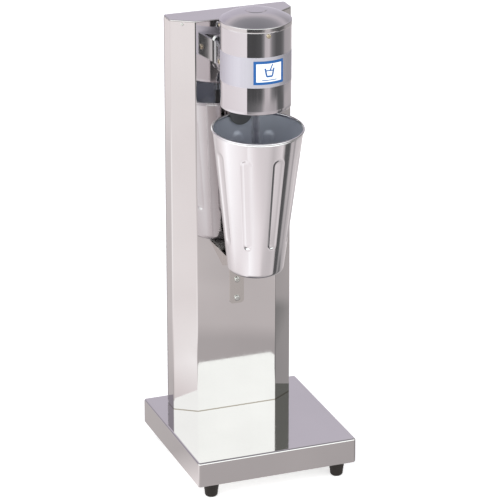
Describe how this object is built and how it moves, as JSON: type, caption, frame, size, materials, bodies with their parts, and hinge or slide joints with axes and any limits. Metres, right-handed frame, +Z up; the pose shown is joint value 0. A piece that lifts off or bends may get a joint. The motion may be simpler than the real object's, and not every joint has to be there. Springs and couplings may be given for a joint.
{
  "type": "milkshake mixer",
  "caption": "Single-spindle milkshake mixer: a motor head on a bent sheet-steel column and square base, its spindle reaching into a fluted metal cup held by a rest and a switch tongue.",
  "frame": {"origin": "on the floor, under the centre of the square base", "axes": "+Z up along the column, -Y towards the user and the cup, +X to the user's right"},
  "size_m": [0.19, 0.19, 0.544],
  "materials": {
    "polished_steel": "bright polished stainless sheet",
    "satin_steel": "satin stainless",
    "rest_steel": "polished stainless strip",
    "cup_steel": "bright drawn stainless with soft spun lines",
    "barrel_steel": "bright polished drawn steel",
    "chrome": "bright chrome plate",
    "cast_metal": "fine cast surface",
    "zinc_steel": "zinc plated",
    "brassy_screw": "yellow passivated",
    "black_rubber": "matt moulded rubber",
    "black_plastic": "fine grained black plastic",
    "dark_grey": "dark grey coated steel",
    "red_plastic": "glossy black rocker",
    "badge": "blue printed film with a white field",
    "lamination": "stacked lamination edges",
    "copper": "enamelled copper wire",
    "carbon": "carbon",
    "brass": "plain brass",
    "bearing_steel": "ground steel",
    "spindle_steel": "ground and polished stainless",
    "wire_sleeve": "black braided sleeve",
    "seal_rubber": "black nitrile rubber",
    "spring_steel": "drawn spring wire"
  },
  "bodies": {
    "stand": {"barrel_lugs": "cast_metal", "base_bottom_plate": "zinc_steel", "base_nuts": "zinc_steel", "base_pan": "polished_steel", "bell_screws": "zinc_steel", "bracket_screws": "zinc_steel", "brush_holders": "brass", "cap_rivets": "zinc_steel", "carbon_brushes": "carbon", "column_back_panel": "satin_steel", "column_bolts": "zinc_steel", "column_shell": "polished_steel", "column_top_cap": "polished_steel", "cord_gland": "black_plastic", "cup_rest": "rest_steel", "field_coils": "copper", "foot_screws": "zinc_steel", "front_badge": "badge", "head_barrel": "barrel_steel", "head_lid": "barrel_steel", "lever_pin": "bearing_steel", "lever_spring": "spring_steel", "lid_screws": "brassy_screw", "lower_bearing": "bearing_steel", "lower_end_bell": "cast_metal", "microswitch_body": "black_plastic", "microswitch_screws": "zinc_steel", "neck_backing_plate": "zinc_steel", "neck_bolts": "zinc_steel", "neck_casting": "chrome", "neck_cover": "black_plastic", "neck_side_screws": "brassy_screw", "power_switch_body": "black_plastic", "rest_pad": "seal_rubber", "rubber_foot_front_left": "black_rubber", "rubber_foot_front_right": "black_rubber", "rubber_foot_rear_left": "black_rubber", "rubber_foot_rear_right": "black_rubber", "shaft_seal": "seal_rubber", "sheet_screws": "zinc_steel", "stator_bolts": "zinc_steel", "stator_core": "lamination", "switch_bracket": "zinc_steel", "terminal_block": "black_plastic", "upper_bearing": "bearing_steel", "upper_end_bell": "cast_metal", "wire_loom": "wire_sleeve"},
    "rotor": {"armature_core": "lamination", "armature_windings": "copper", "commutator": "brass", "cooling_fan": "black_plastic", "motor_shaft": "bearing_steel", "spindle_coupling": "chrome", "spindle_rod": "spindle_steel", "agitator_disc": "spindle_steel", "agitator_butterfly": "spindle_steel"},
    "cup": {"cup": "cup_steel"},
    "lever": {"switch_lever": "dark_grey"},
    "plunger": {"microswitch_plunger": "red_plastic"},
    "rocker": {"power_rocker": "red_plastic"}
  },
  "joints": [
    {"name": "spindle_spin", "type": "hinge", "parent": "stand", "child": "rotor", "pos_m": [0, -0.0228, 0.4], "axis": [0, 0, 1], "continuous": true},
    {"name": "cup_lift", "type": "slide", "parent": "stand", "child": "cup", "axis": [0, 0, 1], "range_m": [0, 0.008]},
    {"name": "lever_swing", "type": "hinge", "parent": "stand", "child": "lever", "pos_m": [-0.0032, 0.0254, 0.4583], "axis": [-1, 0, 0], "range_deg": [0, 4], "stiffness_Nm_per_rad": 0.05, "springref_deg": -5.73},
    {"name": "plunger_push", "type": "slide", "parent": "stand", "child": "plunger", "axis": [0, 1, 0], "range_m": [0, 0.0012]},
    {"name": "rocker_tip", "type": "hinge", "parent": "stand", "child": "rocker", "pos_m": [-0.032, 0.0758, 0.089], "axis": [1, 0, 0], "range_deg": [0, 20]}
  ],
  "couplings": [
    {"joint": "plunger_push", "follows": "lever_swing", "m_per_rad": 0.0142}
  ]
}
